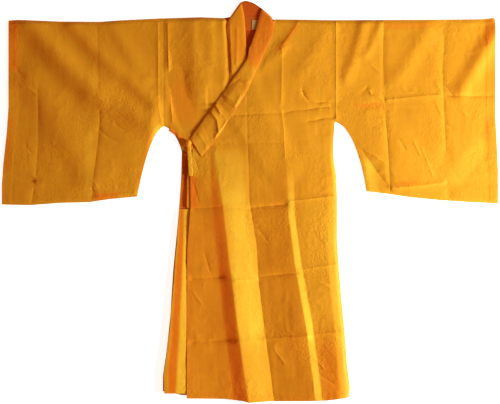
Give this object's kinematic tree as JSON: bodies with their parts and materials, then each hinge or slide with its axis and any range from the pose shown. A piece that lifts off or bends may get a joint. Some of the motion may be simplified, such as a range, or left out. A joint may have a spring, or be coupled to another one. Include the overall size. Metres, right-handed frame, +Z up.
{
  "type": "buddhist monk robe",
  "caption": "Wide-sleeved cross-front monk robe laid flat, its left front crossed over and tied at the side.",
  "frame": {"origin": "middle of the laid-out robe, on the surface it lies on", "axes": "+X towards the wearer's left cuff, +Y towards the collar, +Z up out of the front"},
  "size_m": [1.8, 1.456, 0.0219],
  "materials": {
    "gold_cloth": "plain-woven golden yellow cotton blend, matt with a faint sheen",
    "collar_cloth": "the same cloth doubled over interlining",
    "facing_cloth": "the same cloth, inner side",
    "label_tape": "blank woven cream tape",
    "tie_cloth": "narrow folded tape of the same cloth"
  },
  "bodies": {
    "root": {"back": "gold_cloth", "right_front": "gold_cloth", "left_front": "gold_cloth", "overlap": "gold_cloth", "right_sleeve": "gold_cloth", "left_sleeve": "gold_cloth", "side_gusset": "gold_cloth", "collar": "collar_cloth", "back_neck_facing": "facing_cloth", "neck_label": "label_tape", "side_tie": "tie_cloth", "tie_end": "tie_cloth", "tie_knot": "tie_cloth"}
  },
  "joints": []
}
